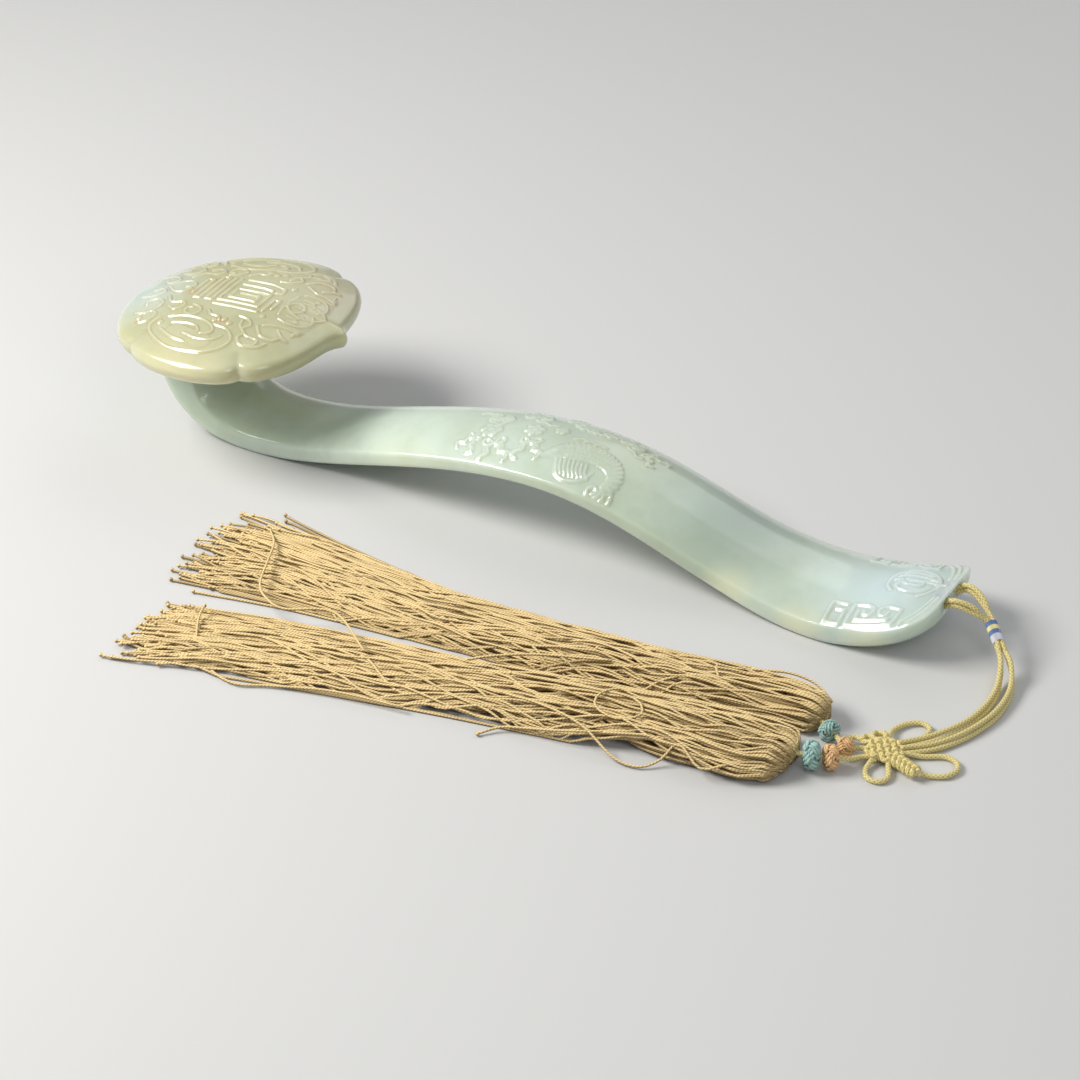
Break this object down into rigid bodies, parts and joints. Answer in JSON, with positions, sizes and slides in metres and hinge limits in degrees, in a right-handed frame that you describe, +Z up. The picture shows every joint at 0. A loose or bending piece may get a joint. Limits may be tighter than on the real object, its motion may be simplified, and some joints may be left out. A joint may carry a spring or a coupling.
{
  "type": "ruyi scepter",
  "caption": "Carved stone ruyi scepter with a cloud-shaped head, an arched handle and a low upturned tail, hung with a silk cord, a flower knot, button knots and two long tassels",
  "frame": {"origin": "on the table plane, under the middle of the stone body's bounding box", "axes": "+X from the cloud-shaped head to the upturned tail, +Z up, -Y the side on which the tassels are laid out"},
  "size_m": [0.4431, 0.2342, 0.0667],
  "materials": {
    "jade_cream": "polished, slightly translucent",
    "jade_celadon": "polished, slightly translucent",
    "silk_yellow": "braided silk",
    "silk_tan": "twisted silk strings",
    "silk_blue": "wound silk thread",
    "silk_white": "wound silk thread",
    "silk_teal": "woven silk cord",
    "silk_peach": "woven silk cord"
  },
  "bodies": {
    "scepter": {"head": "jade_cream", "shaft": "jade_celadon", "strand_front_inner": "silk_yellow", "strand_front_outer": "silk_yellow", "strand_back_inner": "silk_yellow", "strand_back_outer": "silk_yellow", "binding_upper_blue": "silk_blue", "binding_gold": "silk_yellow", "binding_lower_blue": "silk_blue", "binding_white": "silk_white", "flower_knot": "silk_yellow", "knot_loop_upper": "silk_yellow", "knot_loop_lower": "silk_yellow", "knot_loop_small": "silk_yellow"},
    "front_tassel_body": {"hanger_front": "silk_yellow", "button_peach_front": "silk_peach", "button_teal_front": "silk_teal", "tassel_front": "silk_tan"},
    "back_tassel_body": {"hanger_back": "silk_yellow", "hanger_back_loop": "silk_yellow", "button_peach_back": "silk_peach", "button_teal_back": "silk_teal", "tassel_back": "silk_tan"}
  },
  "joints": [
    {"name": "front_tassel_swing", "type": "hinge", "parent": "scepter", "child": "front_tassel_body", "pos_m": [0.2076, -0.0942, 0.003], "axis": [0, 0, 1], "range_deg": [0, 30]},
    {"name": "back_tassel_swing", "type": "hinge", "parent": "scepter", "child": "back_tassel_body", "pos_m": [0.2056, -0.0882, 0.003], "axis": [0, 0, 1], "range_deg": [-6, 0]}
  ]
}
